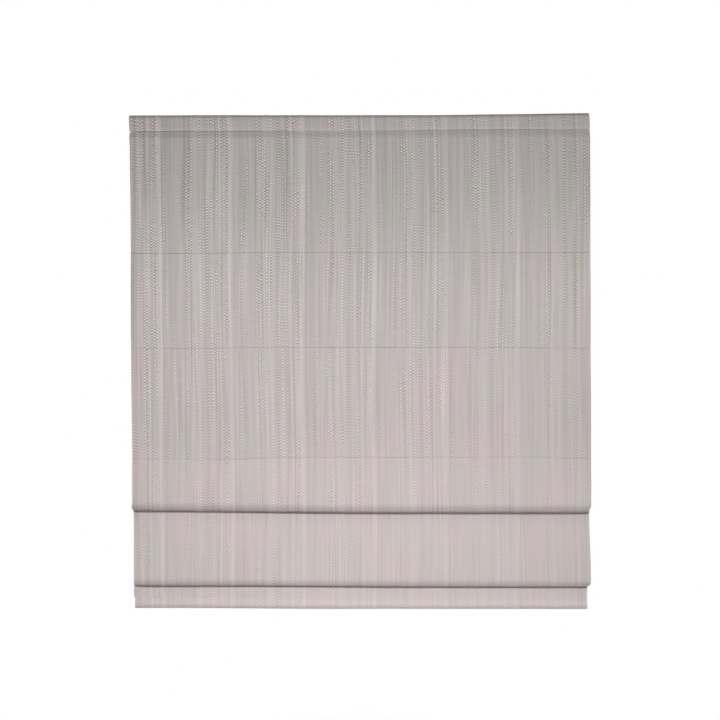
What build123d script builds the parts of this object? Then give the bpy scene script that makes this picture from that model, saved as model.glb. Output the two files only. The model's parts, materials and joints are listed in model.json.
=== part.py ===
from build123d import *
import math
import os

os.makedirs("parts", exist_ok=True)

# Frame: X runs across the window, the wall is the plane Y = 0 and the room lies towards -Y,
# Z is up, and the origin is the middle of the line of wall screws. Lengths are millimetres.

# Cloth
blind_width = 1200.0
cloth = 0.8
side_hem = 28.0
header_cloth = 2.2
header_overhang = 1.5
header_step = 0.6
header_top = 18.0
header_height = 44.0
header_roll = 8.0
header_return = 3.0

# Drops between the horizontal lines of the cloth
drop_to_row_1 = 319.0
drop_to_row_2 = 246.0
drop_to_row_3 = 286.0
drop_to_fold_a = 143.0
drop_to_fold_b = 200.0
drop_to_hem = 58.0
fold_a_rise = 84.0
fold_b_rise = 68.0
fold_a_depth = 14.0
fold_b_depth = 12.0
fold_slack = 0.1

# Raised stripes of the weave, as distance from the start of a repeat and width
stripe_start = -530.0
stripe_repeat = 187.0
stripe_raise = 0.2
stripe_bands = [(0.0, 12.0), (94.0, 14.0)]

# Rods, their end caps and the tucks that hold them
rod_diameter = 4.0
rod_setback = 5.0
cap_wall = 0.45
cap_length = 10.0
cap_bottom = 2.0
cap_chamfer = 0.8
cap_fit = 0.05
pocket_clearance = 0.3
tuck_stem = 5.2
tuck_gap = 0.7
stitch_depth = 0.4

# Rings sewn to the tucks
ring_radius = 5.0
ring_wire = 1.0
seat_gap = 0.3
cord_inset = 75.0
cord_count = 4

# Weight bar in the hem, with its end caps
bar_height = 20.0
bar_thickness = 2.0
bar_corner = 0.6
bar_cap_wall = 0.7
bar_cap_length = 14.0
bar_cap_bottom = 2.0
bar_setback = 8.0
hem_corner = 1.6

# Head rail
rail_stand_off = 4.6
rail_depth = 35.4
rail_height = 36.0
rail_wall = 1.5
rail_lip = 7.0
groove_height = 2.2
groove_depth = 2.0
groove_drop = 4.2
corner_radius = 0.8
end_setback = 2.0
end_plate = 3.0
spigot_length = 10.0
spigot_wall = 1.5
fit = 0.3

# Brackets, their clips and rivets
bracket_inset = 120.0
bracket_width = 34.0
bracket_thickness = 1.6
bracket_play = 0.2
bracket_above_rail = 0.5
bracket_bend = 1.0
bracket_foot = 1.4
header_room = 3.1
header_clearance = 0.6
screw_diameter = 5.0
screw_spacing = 22.0
clip_thickness = 0.8
clip_width = 10.0
clip_height = 16.0
clip_reach = 10.0
clip_finger = 2.0
rivet_diameter = 3.0
rivet_hole_fit = 0.05
rivet_head_diameter = 5.4
rivet_head_height = 0.9
rivet_drop = 4.0
rivet_flare = 1.0

# Hook-and-loop tape
tape_height = 25.0
tape_below_groove = 1.5
tape_setback = 4.0

# Drive line
shaft_side = 6.0
shaft_corner = 0.4
shaft_fit = 0.1
shaft_end_gap = 1.0
running_fit = 0.1
journal_radius = 5.0
journal_overhang = 1.0
spool_drum_radius = 7.0
spool_drum_taper = 0.5
spool_drum_length = 30.0
spool_flange_radius = 11.0
spool_flange = 1.5
spool_cone_length = 5.0
spool_cone_radius = 9.0
cord_hole_diameter = 2.0
cradle_base = 2.0
cradle_ear = 3.0
cradle_ear_width = 17.0
cradle_ear_corner = 2.0
cradle_rise = 3.6
cradle_mouth = 9.2
cradle_end_gap = 1.0
cradle_edge = 1.5
outlet_diameter = 4.0
outlet_wall = 3.0
outlet_length = 3.0
outlet_round = 1.0
bearing_wall = 2.5
bearing_length = 12.0

# Chain control
housing_length = 28.0
housing_wall = 3.0
bead_diameter = 4.5
bead_pitch = 6.0
bead_count = 12
bead_clearance = 0.1
link_groove = 1.4
link_groove_depth = 1.1
channel_width = 5.0
channel_depth = 0.1
rim_flange = 1.2
rim_flange_rise = 1.5
rim_offset = 4.2
hub_gap = 1.0
hub_wall = 1.3
hub_web = 5.5
hub_journal_radius = 7.0
hub_journal_setback = 0.2
core_radius = 5.5
core_gap = 0.5
core_boss_length = 2.5
spring_wire = 1.2
spring_turns = 7
spring_dip = 0.35
spring_gap = 0.5
spring_room = 0.3
chain_exit_width = 6.5
chain_exit_length = 7.0
chain_guide_wall = 1.2
chain_guide_length = 2.0
cover_lip = 2.0
cover_lip_wall = 1.2

# Head rail and drive line, from the header down
bracket_top = header_top - header_cloth - header_room
rail_top = bracket_top - bracket_thickness - bracket_above_rail
rail_bottom = rail_top - rail_height
rail_front = -(rail_stand_off + rail_depth)
rail_back = -rail_stand_off
axis_y = (rail_front + rail_back) / 2
axis_z = (rail_top + rail_bottom) / 2
groove_top = rail_top - groove_drop
groove_bottom = groove_top - groove_height
drive_plane = Plane(origin=(0, axis_y, axis_z), x_dir=(1, 0, 0), z_dir=(0, -1, 0))
drive_axis = Axis((0, axis_y, axis_z), (1, 0, 0))

mechanism_half = blind_width / 2 - end_setback
cover_face = mechanism_half - end_plate
rail_left = -cover_face
rail_right = mechanism_half - housing_length

# Cloth, from the rail forwards and from the header down
tape = (bracket_play + bracket_thickness + header_clearance) / 2
header_back = rail_front - 2 * tape
header_face = header_back - header_cloth
cloth_face = header_face + header_step
cloth_back = cloth_face + cloth
half_width = blind_width / 2
header_half = half_width + header_overhang

rod_radius = rod_diameter / 2
cap_radius = rod_radius + cap_fit + cap_wall
pocket_inner = cap_radius + pocket_clearance
pocket_outer = pocket_inner + cloth
pocket_middle = (pocket_inner + pocket_outer) / 2
tuck = 2 * cloth + tuck_gap
ring_outer = ring_radius + ring_wire

header_seam = header_top - header_height
row_1_z = header_seam - drop_to_row_1
row_2_z = row_1_z - drop_to_row_2
row_3_z = row_2_z - drop_to_row_3
fold_a_z = row_3_z - drop_to_fold_a
row_4_z = fold_a_z + fold_a_rise
fold_b_z = fold_a_z - drop_to_fold_b
row_5_z = fold_b_z + fold_b_rise
hem_z = fold_b_z - drop_to_hem

# Right side of the cloth on each hanging layer
fold_a_face = cloth_face + fold_a_depth
panel_b_face = fold_a_face + tuck_gap
fold_b_face = panel_b_face + fold_b_depth
flap_face = fold_b_face + tuck_gap

upper_row_y = cloth_back + tuck_stem + pocket_outer
row_4_y = (fold_a_face + panel_b_face) / 2
row_5_y = (fold_b_face + flap_face) / 2
upper_rows = [row_1_z, row_2_z, row_3_z]
gathered_rows = [(row_4_y, row_4_z), (row_5_y, row_5_z)]
row_places = [(upper_row_y, z) for z in upper_rows] + gathered_rows
cord_spacing = (blind_width - 2 * cord_inset) / (cord_count - 1)
cord_places = [cord_spacing * (index - (cord_count - 1) / 2) for index in range(cord_count)]
cord_y = upper_row_y + pocket_outer + seat_gap + ring_outer


def cloth_run(points, radii, start, reach, amount, side):
    """A run of cloth from its right side to a distance on one side of it"""
    with BuildPart() as run:
        with BuildSketch(Plane.YZ.offset(start)):
            with BuildLine():
                if radii:
                    FilletPolyline(*points, radius=radii)
                else:
                    Line(*points)
                offset(amount=amount, side=side)
            make_face()
        extrude(amount=reach)
    return run.part


# Runs of the cloth's right side, each from its top end down, with the radius of each turn
header_points = [
    (header_face + header_roll + header_return, header_top),
    (header_face, header_top),
    (header_face, header_seam),
]
upper_points = [
    (cloth_face, header_seam + cloth),
    (cloth_face, fold_a_z),
    (fold_a_face, fold_a_z),
    (fold_a_face, row_4_z - pocket_middle),
]
middle_points = [
    (panel_b_face, row_4_z - pocket_middle),
    (panel_b_face, fold_b_z),
    (fold_b_face, fold_b_z),
    (fold_b_face, row_5_z - pocket_middle),
]
lower_points = [
    (flap_face, row_5_z - pocket_middle),
    (flap_face, hem_z + hem_corner + cloth),
]
fold_a_turn = fold_a_depth / 2 - fold_slack
fold_b_turn = fold_b_depth / 2 - fold_slack
header_run = (header_points, [header_roll])
body_runs = [
    (upper_points, [fold_a_turn, fold_a_turn]),
    (middle_points, [fold_b_turn, fold_b_turn]),
    (lower_points, []),
]

# Hem pocket round the weight bar and its caps
bar_cap_height = bar_height + 2 * bar_cap_wall
bar_cap_thickness = bar_thickness + 2 * bar_cap_wall
hem_room_depth = bar_cap_thickness + 2 * pocket_clearance
hem_room_height = bar_cap_height + 2 * pocket_clearance
hem_depth = hem_room_depth + 2 * cloth
hem_height = hem_room_height + 2 * cloth
bar_y = flap_face + hem_depth / 2
bar_z = hem_z + hem_height / 2

# Layers of the cloth, its side hems and its raised stripes
cloth_layers = [cloth_run(*header_run, -header_half, 2 * header_half, header_cloth, Side.LEFT)]
hem_strips = []
for run in body_runs:
    cloth_layers.append(cloth_run(*run, -half_width, 2 * half_width, cloth, Side.LEFT))
    hem_strips.append(cloth_run(*run, -half_width, side_hem, 2 * cloth, Side.LEFT))

repeat_count = math.ceil(blind_width / stripe_repeat)
stripes = []
for band_start, band_width in stripe_bands:
    places = []
    for turn in range(-1, repeat_count + 1):
        start = stripe_start + stripe_repeat * turn + band_start
        if -half_width < start and start + band_width < half_width:
            places.append((start, 0, 0))
    for run in [header_run] + body_runs:
        stripes.append((cloth_run(*run, 0, band_width, stripe_raise, Side.RIGHT), places))

# Cloth: one sheet with side hems, rod tucks, two gathered folds and a hem pocket
with BuildPart() as fabric:
    add(cloth_layers)
    for strip in hem_strips:
        with Locations((0, 0, 0), (2 * half_width - side_hem, 0, 0)):
            add(strip)
    with BuildSketch(Plane.YZ.offset(-half_width)):
        for z in upper_rows:
            with Locations(((cloth_back + upper_row_y - pocket_middle) / 2, z)):
                Rectangle(upper_row_y - pocket_middle - cloth_back + cloth, tuck)
        for y, z in gathered_rows:
            with Locations((y, z - pocket_middle - tuck_stem / 2)):
                Rectangle(tuck, tuck_stem)
        with Locations(*row_places):
            Circle(pocket_outer)
        with Locations((bar_y, bar_z)):
            RectangleRounded(hem_depth, hem_height, hem_corner)
    extrude(amount=2 * half_width)
    with BuildSketch(Plane.YZ.offset(-half_width)):
        with Locations(*row_places):
            Circle(pocket_inner)
        with Locations((bar_y, bar_z)):
            RectangleRounded(hem_room_depth, hem_room_height, hem_corner - cloth)
    extrude(amount=2 * half_width, mode=Mode.SUBTRACT)
    for stripe, places in stripes:
        with Locations(*places):
            add(stripe)
    with Locations(*[(0, cloth_face, z) for z in upper_rows]):
        Box(2 * half_width + 2 * cloth, 2 * stitch_depth, tuck_gap, mode=Mode.SUBTRACT)
fabric.part.label = "fabric"
export_step(fabric.part, "parts/fabric.step")

# Rods and end caps, one row to each tuck
rod_length = blind_width - 2 * rod_setback - 2 * cap_bottom
for row, (y, z) in enumerate(row_places, start=1):
    with BuildPart() as rod:
        with BuildSketch(Plane.YZ.offset(-rod_length / 2)):
            with Locations((y, z)):
                Circle(rod_radius)
        extrude(amount=rod_length)
    rod.part.label = f"rod_{row}"
    export_step(rod.part, f"parts/rod_{row}.step")

    cap_end = rod_length / 2 + cap_bottom
    cap_open = cap_end - cap_length
    row_plane = Plane(origin=(0, y, z), x_dir=(1, 0, 0), z_dir=(0, -1, 0))
    with BuildPart() as rod_caps:
        with BuildSketch(row_plane):
            with BuildLine():
                Polyline(
                    (rod_length / 2, 0),
                    (rod_length / 2, rod_radius + cap_fit),
                    (cap_open, rod_radius + cap_fit),
                    (cap_open, cap_radius),
                    (cap_end - cap_chamfer, cap_radius),
                    (cap_end, cap_radius - cap_chamfer),
                    (cap_end, 0),
                    close=True,
                )
            make_face()
        revolve(axis=Axis((0, y, z), (1, 0, 0)))
        mirror(about=Plane.YZ)
    rod_caps.part.label = f"rod_caps_{row}"
    export_step(rod_caps.part, f"parts/rod_caps_{row}.step")

    with BuildPart() as rings:
        with Locations(*[(x, y + pocket_outer + seat_gap + ring_outer, z) for x in cord_places]):
            Torus(ring_radius, ring_wire)
    rings.part.label = f"rings_row_{row}"
    export_step(rings.part, f"parts/rings_row_{row}.step")

# Weight bar and its end caps
bar_length = blind_width - 2 * bar_setback - 2 * bar_cap_bottom
with BuildPart() as weight_bar:
    with BuildSketch(Plane.YZ.offset(-bar_length / 2)):
        with Locations((bar_y, bar_z)):
            RectangleRounded(bar_thickness, bar_height, bar_corner)
    extrude(amount=bar_length)
weight_bar.part.label = "weight_bar"
export_step(weight_bar.part, "parts/weight_bar.step")

with BuildPart() as bar_caps:
    with BuildSketch(Plane.YZ.offset(bar_length / 2 + bar_cap_bottom - bar_cap_length)):
        with Locations((bar_y, bar_z)):
            RectangleRounded(bar_cap_thickness, bar_cap_height, bar_corner + bar_cap_wall)
    extrude(amount=bar_cap_length)
    with BuildSketch(Plane.YZ.offset(bar_length / 2)):
        with Locations((bar_y, bar_z)):
            RectangleRounded(bar_thickness + 2 * cap_fit, bar_height + 2 * cap_fit, bar_corner)
    extrude(amount=-bar_cap_length, mode=Mode.SUBTRACT)
    mirror(about=Plane.YZ)
bar_caps.part.label = "bar_caps"
export_step(bar_caps.part, "parts/bar_caps.step")

# Head rail: an extruded channel with a slot below and a groove for the bracket hooks
with BuildPart() as head_rail:
    with BuildSketch(Plane.YZ.offset(rail_left)):
        with Locations((axis_y, axis_z)):
            RectangleRounded(rail_depth, rail_height, corner_radius)
            Rectangle(rail_depth - 2 * rail_wall, rail_height - 2 * rail_wall, mode=Mode.SUBTRACT)
        with Locations((axis_y, rail_bottom + rail_wall / 2)):
            slot_width = rail_depth - 2 * rail_wall - 2 * rail_lip
            Rectangle(slot_width, 2 * rail_wall, mode=Mode.SUBTRACT)
        groove_middle = (groove_top + groove_bottom) / 2
        with Locations((rail_front + rail_wall + groove_depth / 2, groove_middle)):
            Rectangle(groove_depth, groove_height + 2 * rail_wall)
        with Locations((rail_front, groove_middle)):
            Rectangle(2 * groove_depth, groove_height, mode=Mode.SUBTRACT)
    extrude(amount=rail_right - rail_left)
head_rail.part.label = "head_rail"
export_step(head_rail.part, "parts/head_rail.step")

# Outline of the spigots that enter the rail's ends
spigot_front = rail_front + groove_depth + rail_wall + fit
spigot_back = rail_back - rail_wall - fit
spigot_middle = (spigot_front + spigot_back) / 2
spigot_depth = spigot_back - spigot_front
spigot_height = rail_height - 2 * (rail_wall + fit)
corner_reach = math.sqrt(2) * (shaft_side / 2 - shaft_corner) + shaft_corner
shaft_bore = corner_reach + running_fit

# Left end cap, with the bearing that the shaft's end turns in
with BuildPart() as end_cap_left:
    with BuildSketch(Plane.YZ.offset(-mechanism_half)):
        with Locations((axis_y, axis_z)):
            RectangleRounded(rail_depth, rail_height, corner_radius)
    extrude(amount=end_plate)
    with BuildSketch(Plane.YZ.offset(rail_left)):
        with Locations((spigot_middle, axis_z)):
            Rectangle(spigot_depth, spigot_height)
            Rectangle(spigot_depth - 2 * spigot_wall, spigot_height - 2 * spigot_wall, mode=Mode.SUBTRACT)
    extrude(amount=spigot_length)
    with BuildSketch(Plane.YZ.offset(rail_left)):
        with Locations((axis_y, axis_z)):
            Circle(shaft_bore + bearing_wall)
    extrude(amount=bearing_length)
    with BuildSketch(Plane.YZ.offset(rail_left)):
        with Locations((axis_y, axis_z)):
            Circle(shaft_bore)
    extrude(amount=bearing_length, mode=Mode.SUBTRACT)
end_cap_left.part.label = "end_cap_left"
export_step(end_cap_left.part, "parts/end_cap_left.step")

# Chain wheel sizes, from the beads outwards
pocket_radius = bead_diameter / 2 + bead_clearance
pitch_radius = bead_pitch / (2 * math.sin(math.pi / bead_count))
channel_radius = pitch_radius + channel_depth
rim_radius = channel_radius + rim_flange_rise
sleeve_radius = core_radius + running_fit + spring_wire + spring_room
hub_radius = sleeve_radius + hub_wall
chamber_start = rail_right + housing_wall
rim_start = chamber_start + rim_offset
channel_start = rim_start + rim_flange
channel_end = channel_start + channel_width
rim_end = channel_end + rim_flange
channel_middle = (channel_start + channel_end) / 2
hub_start = chamber_start + hub_gap
hub_end = cover_face - hub_gap
socket_end = hub_start + hub_web
journal_start = rail_right + hub_journal_setback
core_end = socket_end + core_gap

# Control housing: open to its cover, with two openings below for the bead chain
with BuildPart() as control_housing:
    with BuildSketch(Plane.YZ.offset(rail_right)):
        with Locations((axis_y, axis_z)):
            RectangleRounded(rail_depth, rail_height, corner_radius)
    extrude(amount=cover_face - rail_right)
    with BuildSketch(Plane.YZ.offset(chamber_start)):
        with Locations((axis_y, axis_z)):
            Rectangle(rail_depth - 2 * rail_wall, rail_height - 2 * rail_wall)
    extrude(amount=cover_face - chamber_start, mode=Mode.SUBTRACT)
    with BuildSketch(Plane.YZ.offset(rail_right - spigot_length)):
        with Locations((spigot_middle, axis_z)):
            Rectangle(spigot_depth, spigot_height)
            Rectangle(spigot_depth - 2 * spigot_wall, spigot_height - 2 * spigot_wall, mode=Mode.SUBTRACT)
    extrude(amount=spigot_length)
    with BuildSketch(Plane.YZ.offset(rail_right)):
        with Locations((axis_y, axis_z)):
            Circle(hub_journal_radius + running_fit)
    extrude(amount=housing_wall, mode=Mode.SUBTRACT)
    chain_exits = [(channel_middle, axis_y - pitch_radius), (channel_middle, axis_y + pitch_radius)]
    guide_width = chain_exit_width + 2 * chain_guide_wall
    guide_length = chain_exit_length + 2 * chain_guide_wall
    with BuildSketch(Plane.XY.offset(rail_bottom - chain_guide_length)):
        with Locations(*chain_exits):
            RectangleRounded(guide_width, guide_length, chain_guide_wall)
    extrude(amount=chain_guide_length + rail_wall)
    with BuildSketch(Plane.XY.offset(rail_bottom - chain_guide_length)):
        with Locations(*chain_exits):
            Rectangle(chain_exit_width, chain_exit_length)
    extrude(amount=chain_guide_length + rail_wall, mode=Mode.SUBTRACT)
control_housing.part.label = "control_housing"
export_step(control_housing.part, "parts/control_housing.step")

# Housing cover, with the fixed core that the clutch spring grips
with BuildPart() as control_cover:
    with BuildSketch(Plane.YZ.offset(cover_face)):
        with Locations((axis_y, axis_z)):
            RectangleRounded(rail_depth, rail_height, corner_radius)
    extrude(amount=end_plate)
    lip_depth = rail_depth - 2 * (rail_wall + fit)
    lip_height = rail_height - 2 * (rail_wall + fit)
    with BuildSketch(Plane.YZ.offset(cover_face)):
        with Locations((axis_y, axis_z)):
            Rectangle(lip_depth, lip_height)
            Rectangle(lip_depth - 2 * cover_lip_wall, lip_height - 2 * cover_lip_wall, mode=Mode.SUBTRACT)
    extrude(amount=-cover_lip)
    with BuildSketch(Plane.YZ.offset(cover_face)):
        with Locations((axis_y, axis_z)):
            Circle(sleeve_radius - running_fit)
    extrude(amount=-core_boss_length)
    with BuildSketch(Plane.YZ.offset(cover_face)):
        with Locations((axis_y, axis_z)):
            Circle(core_radius)
    extrude(amount=core_end - cover_face)
control_cover.part.label = "control_cover"
export_step(control_cover.part, "parts/control_cover.step")

# Chain wheel: bead pockets round its rim, a journal, a square socket and the clutch sleeve
with BuildPart() as chain_wheel:
    with BuildSketch(drive_plane):
        with BuildLine():
            Polyline(
                (journal_start, 0),
                (journal_start, hub_journal_radius),
                (hub_start, hub_journal_radius),
                (hub_start, hub_radius),
                (rim_start, hub_radius),
                (rim_start, rim_radius),
                (channel_start, rim_radius),
                (channel_start, channel_radius),
                (channel_middle - link_groove / 2, channel_radius),
                (channel_middle - link_groove / 2, channel_radius - link_groove_depth),
                (channel_middle + link_groove / 2, channel_radius - link_groove_depth),
                (channel_middle + link_groove / 2, channel_radius),
                (channel_end, channel_radius),
                (channel_end, rim_radius),
                (rim_end, rim_radius),
                (rim_end, hub_radius),
                (hub_end, hub_radius),
                (hub_end, sleeve_radius),
                (socket_end, sleeve_radius),
                (socket_end, 0),
                close=True,
            )
        make_face()
    revolve(axis=drive_axis)
    with BuildSketch(Plane.YZ.offset(journal_start)):
        with Locations((axis_y, axis_z)):
            Rectangle(shaft_side + 2 * shaft_fit, shaft_side + 2 * shaft_fit)
    extrude(amount=socket_end - journal_start, mode=Mode.SUBTRACT)
    with Locations(Plane(origin=(channel_middle, axis_y, axis_z), x_dir=(0, 1, 0), z_dir=(1, 0, 0))):
        with PolarLocations(pitch_radius, bead_count):
            Cylinder(pocket_radius, 2 * pocket_radius, mode=Mode.SUBTRACT)
chain_wheel.part.label = "chain_wheel"
export_step(chain_wheel.part, "parts/chain_wheel.step")

# Clutch spring: a close-wound coil round the core
spring_start = core_end + spring_gap
spring_inner = core_radius + running_fit
spring_outer = spring_inner + spring_wire
coil = [(spring_start, spring_inner), (spring_start, spring_outer - spring_dip)]
for turn in range(spring_turns):
    coil.append((spring_start + (turn + 0.5) * spring_wire, spring_outer))
    coil.append((spring_start + (turn + 1) * spring_wire, spring_outer - spring_dip))
coil.append((spring_start + spring_turns * spring_wire, spring_inner))
with BuildPart() as clutch_spring:
    with BuildSketch(drive_plane):
        with BuildLine():
            Polyline(*coil, close=True)
        make_face()
    revolve(axis=drive_axis)
clutch_spring.part.label = "clutch_spring"
export_step(clutch_spring.part, "parts/clutch_spring.step")

# Drive shaft, from the left bearing to the chain wheel's socket
shaft_left = rail_left + shaft_end_gap
shaft_right = socket_end - core_gap
with BuildPart() as drive_shaft:
    with BuildSketch(Plane.YZ.offset(shaft_left)):
        with Locations((axis_y, axis_z)):
            RectangleRounded(shaft_side, shaft_side, shaft_corner)
    extrude(amount=shaft_right - shaft_left)
drive_shaft.part.label = "drive_shaft"
export_step(drive_shaft.part, "parts/drive_shaft.step")

# Spools on the shaft, each in a cradle that stands on the rail's lips
spool_half = spool_drum_length / 2 + spool_flange
ear_inner = spool_half + cradle_end_gap
ear_outer = ear_inner + cradle_ear
journal_end = ear_outer + journal_overhang
cradle_half = ear_outer + cradle_edge
lip_top = rail_bottom + rail_wall
base_top = lip_top + cradle_base
base_depth = rail_depth - 2 * (rail_wall + fit)
ear_top = axis_z + cradle_rise
outlet_radius = outlet_diameter / 2
for number, x in enumerate(cord_places, start=1):
    with BuildPart() as spool:
        with BuildSketch(drive_plane):
            with BuildLine():
                Polyline(
                    (x - journal_end, 0),
                    (x - journal_end, journal_radius),
                    (x - spool_half, journal_radius),
                    (x - spool_half, spool_flange_radius),
                    (x - spool_half + spool_flange, spool_flange_radius),
                    (x - spool_half + spool_flange, spool_cone_radius),
                    (x - spool_half + spool_flange + spool_cone_length, spool_drum_radius),
                    (x + spool_half - spool_flange, spool_drum_radius - spool_drum_taper),
                    (x + spool_half - spool_flange, spool_flange_radius),
                    (x + spool_half, spool_flange_radius),
                    (x + spool_half, journal_radius),
                    (x + journal_end, journal_radius),
                    (x + journal_end, 0),
                    close=True,
                )
            make_face()
        revolve(axis=drive_axis)
        with BuildSketch(Plane.YZ.offset(x - journal_end)):
            with Locations((axis_y, axis_z)):
                Rectangle(shaft_side + 2 * shaft_fit, shaft_side + 2 * shaft_fit)
        extrude(amount=2 * journal_end, mode=Mode.SUBTRACT)
        with BuildSketch(Plane.YZ.offset(x + spool_half)):
            with Locations((axis_y, axis_z + (spool_drum_radius + spool_flange_radius) / 2)):
                Circle(cord_hole_diameter / 2)
        extrude(amount=-spool_flange, mode=Mode.SUBTRACT)
    spool.part.label = f"spool_{number}"
    export_step(spool.part, f"parts/spool_{number}.step")

    with BuildPart() as cradle:
        with BuildSketch(Plane.XY.offset(lip_top)):
            with Locations((x, axis_y)):
                RectangleRounded(2 * cradle_half, base_depth, corner_radius)
        extrude(amount=cradle_base)
        with BuildSketch(Plane.YZ.offset(x + ear_inner)):
            with Locations((axis_y, (base_top + ear_top) / 2)):
                Rectangle(cradle_ear_width, ear_top - base_top)
            fillet(vertices().group_by(Axis.Z)[-1], cradle_ear_corner)
            with Locations((axis_y, axis_z)):
                Circle(journal_radius + running_fit, mode=Mode.SUBTRACT)
            with Locations((axis_y, axis_z + cradle_rise)):
                Rectangle(cradle_mouth, 2 * cradle_rise, mode=Mode.SUBTRACT)
        extrude(amount=cradle_ear)
        mirror(about=Plane.YZ.offset(x))
        with BuildSketch(Plane.XY.offset(rail_bottom - outlet_length)):
            with Locations((x, cord_y)):
                Circle(outlet_radius + outlet_wall)
        extrude(amount=base_top - rail_bottom + outlet_length)
        with BuildSketch(Plane.XY.offset(rail_bottom - outlet_length)):
            with Locations((x, cord_y)):
                Circle(outlet_radius)
        extrude(amount=base_top - rail_bottom + outlet_length, mode=Mode.SUBTRACT)
        mouth_edges = cradle.edges().filter_by(GeomType.CIRCLE).group_by(Axis.Z)[0]
        fillet(mouth_edges, outlet_round)
    cradle.part.label = f"cradle_{number}"
    export_step(cradle.part, f"parts/cradle_{number}.step")

# Wall brackets: a strip bent over the rail, hooked into its groove
bracket_spacing = blind_width - 2 * bracket_inset
lip_front = rail_front - bracket_play - bracket_thickness
tip_bottom = (groove_top + groove_bottom - bracket_thickness) / 2
bracket_line = [
    (0, rail_bottom + bracket_foot),
    (0, bracket_top),
    (lip_front, bracket_top),
    (lip_front, tip_bottom),
    (rail_front + groove_depth - bracket_play, tip_bottom),
]
outer_bend = bracket_thickness + bracket_bend
hook_bend = bracket_thickness + bracket_play
clip_top = rail_bottom + clip_height
rivet_z = clip_top - rivet_drop
clip_bottom = rail_bottom - fit - clip_thickness
clip_front = rail_back - clip_reach
clip_line = [
    (-bracket_thickness, clip_top),
    (-bracket_thickness, clip_bottom),
    (clip_front, clip_bottom),
    (clip_front - clip_finger, clip_bottom - clip_finger),
]
rivet_hole = rivet_diameter / 2 + rivet_hole_fit
rivet_base = -bracket_thickness - clip_thickness
flare_radius = rivet_diameter / 2 + rivet_flare
bracket_places = {"left": -bracket_spacing / 2, "right": bracket_spacing / 2}
for side_name, x in bracket_places.items():
    with BuildPart() as bracket:
        with BuildSketch(Plane.YZ.offset(x - bracket_width / 2)):
            with BuildLine():
                FilletPolyline(*bracket_line, radius=[outer_bend, outer_bend, hook_bend])
                offset(amount=bracket_thickness, side=Side.RIGHT)
            make_face()
        extrude(amount=bracket_width)
        with BuildSketch(Plane.XZ):
            with Locations((x, 0)):
                with GridLocations(screw_spacing, 1, 2, 1):
                    Circle(screw_diameter / 2)
            with Locations((x, rivet_z)):
                Circle(rivet_hole)
        extrude(amount=bracket_thickness, mode=Mode.SUBTRACT)
        with BuildSketch(Plane.XZ):
            with Locations((x, rivet_z)):
                Circle(flare_radius + rivet_hole_fit)
        extrude(amount=rivet_flare, taper=45, mode=Mode.SUBTRACT)
    bracket.part.label = f"bracket_{side_name}"
    export_step(bracket.part, f"parts/bracket_{side_name}.step")

    with BuildPart() as bracket_clip:
        with BuildSketch(Plane.YZ.offset(x - clip_width / 2)):
            with BuildLine():
                FilletPolyline(*clip_line, radius=[2 * clip_thickness, clip_thickness])
                offset(amount=clip_thickness, side=Side.RIGHT)
            make_face()
        extrude(amount=clip_width)
        with BuildSketch(Plane.XZ.offset(bracket_thickness)):
            with Locations((x, rivet_z)):
                Circle(rivet_hole)
        extrude(amount=clip_thickness, mode=Mode.SUBTRACT)
    bracket_clip.part.label = f"bracket_clip_{side_name}"
    export_step(bracket_clip.part, f"parts/bracket_clip_{side_name}.step")

# Rivets that hold the clips: a round head in front, a flared tail flush with the wall side
rivet_plane = Plane(origin=(bracket_spacing / 2, 0, rivet_z), x_dir=(1, 0, 0), z_dir=(0, 0, 1))
with BuildPart() as clip_rivets:
    with BuildSketch(rivet_plane):
        with BuildLine():
            Polyline(
                (0, rivet_base - rivet_head_height),
                (0, -rivet_hole_fit),
                (flare_radius - rivet_hole_fit, -rivet_hole_fit),
                (rivet_diameter / 2, -rivet_flare),
                (rivet_diameter / 2, rivet_base),
                (rivet_head_diameter / 2, rivet_base),
                (rivet_head_diameter / 2 - rivet_head_height, rivet_base - rivet_head_height),
                close=True,
            )
        make_face()
    revolve(axis=Axis((bracket_spacing / 2, 0, rivet_z), (0, 1, 0)))
    mirror(about=Plane.YZ)
clip_rivets.part.label = "clip_rivets"
export_step(clip_rivets.part, "parts/clip_rivets.step")

# Hook-and-loop tape that holds the header to the rail
tape_top = groove_bottom - tape_below_groove
tape_length = 2 * (mechanism_half - tape_setback)
tape_faces = {"hook_tape": rail_front, "loop_tape": rail_front - tape}
for tape_name, back_y in tape_faces.items():
    with BuildPart() as tape_strip:
        with BuildSketch(Plane.XZ.offset(-back_y)):
            with Locations((0, tape_top - tape_height / 2)):
                Rectangle(tape_length, tape_height)
        extrude(amount=tape)
    tape_strip.part.label = tape_name
    export_step(tape_strip.part, f"parts/{tape_name}.step")
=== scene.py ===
import json
import math

import bpy
import numpy as np
from bpy.props import FloatProperty, FloatVectorProperty, PointerProperty
from bpy.types import Operator, Panel, PropertyGroup
from mathutils import Matrix, Vector


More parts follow.
